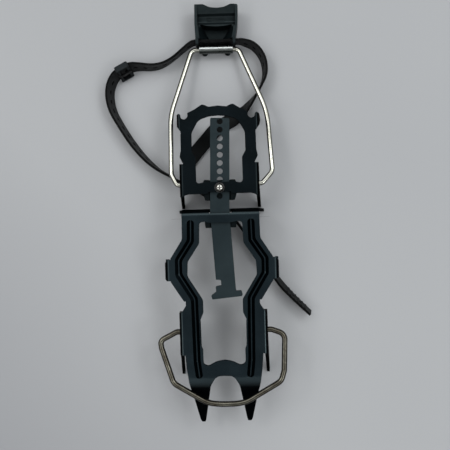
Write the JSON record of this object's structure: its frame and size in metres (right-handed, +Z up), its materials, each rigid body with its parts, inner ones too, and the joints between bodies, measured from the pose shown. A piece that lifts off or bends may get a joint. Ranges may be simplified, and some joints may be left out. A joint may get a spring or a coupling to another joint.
{
  "type": "crampon",
  "caption": "Hybrid wire-binding crampon, collapsed: stamped front and heel sections on a perforated link bar, toe bail, heel bail with tension lever and ankle strap.",
  "frame": {"origin": "on the ground the spikes stand on, under the rear edge of the front section's flat top, on the long axis", "axes": "+X to the right seen from above with the heel up, +Y towards the heel, +Z up, away from the ground"},
  "size_m": [0.1693, 0.3463, 0.0394],
  "materials": {
    "coated_steel": "satin blue-black powder coat",
    "bar_coating": "satin dark grey coat",
    "guide_coating": "matte black coat",
    "screw_steel": "bright plated",
    "toe_wire": "tarnished brown-grey",
    "stainless_wire": "bright drawn stainless",
    "lever_plastic": "satin moulded black",
    "hinge_steel": "satin",
    "strap_rubber": "matte dark grey",
    "buckle_plastic": "matte black"
  },
  "bodies": {
    "front_section": {"front_frame": "coated_steel", "front_bar_guide": "guide_coating", "strap_tail": "strap_rubber"},
    "link_bar": {"link_bar": "bar_coating", "strap_under_bar": "strap_rubber"},
    "heel_section": {"heel_frame": "coated_steel", "rear_bar_guide": "guide_coating", "adjuster_washer": "screw_steel", "adjuster_nut": "screw_steel", "strap_heel_run": "strap_rubber", "strap_diagonal": "strap_rubber"},
    "adjuster_screw": {"adjuster_screw": "screw_steel"},
    "toe_bail": {"toe_bail": "toe_wire"},
    "heel_bail": {"heel_bail": "stainless_wire", "strap_left_loop": "strap_rubber", "strap_top_run": "strap_rubber", "strap_right_loop": "strap_rubber", "buckle_frame": "buckle_plastic"},
    "heel_lever": {"heel_lever": "lever_plastic", "lever_hinge_plate": "hinge_steel", "lever_rivets": "hinge_steel", "strap_in_lever": "strap_rubber"},
    "buckle_prong": {"buckle_prong": "hinge_steel"}
  },
  "joints": [
    {"name": "bar_slide", "type": "slide", "parent": "front_section", "child": "link_bar", "axis": [-0.0564, 0.9984, 0], "range_m": [0, 0.05]},
    {"name": "heel_size_slide", "type": "slide", "parent": "link_bar", "child": "heel_section", "axis": [0.0288, 0.9996, 0], "range_m": [0, 0.04]},
    {"name": "adjuster_screw_turn", "type": "hinge", "parent": "heel_section", "child": "adjuster_screw", "pos_m": [0, 0.0204, 0.036], "axis": [0, 0, 1], "continuous": true},
    {"name": "toe_bail_swing", "type": "hinge", "parent": "front_section", "child": "toe_bail", "pos_m": [0, -0.0956, 0.027], "axis": [-1, 0, 0], "range_deg": [0, 125]},
    {"name": "heel_bail_swing", "type": "hinge", "parent": "heel_section", "child": "heel_bail", "pos_m": [0, 0.0236, 0.0285], "axis": [1, 0, 0], "range_deg": [0, 115]},
    {"name": "heel_lever_swing", "type": "hinge", "parent": "heel_bail", "child": "heel_lever", "pos_m": [0, 0.1386, 0.008], "axis": [1, 0, 0], "range_deg": [-60, 140]},
    {"name": "buckle_prong_swing", "type": "hinge", "parent": "heel_bail", "child": "buckle_prong", "pos_m": [-0.08118, 0.11835, 0.00909], "axis": [0.1895, -0.36, -0.9135], "range_deg": [0, 100]}
  ]
}
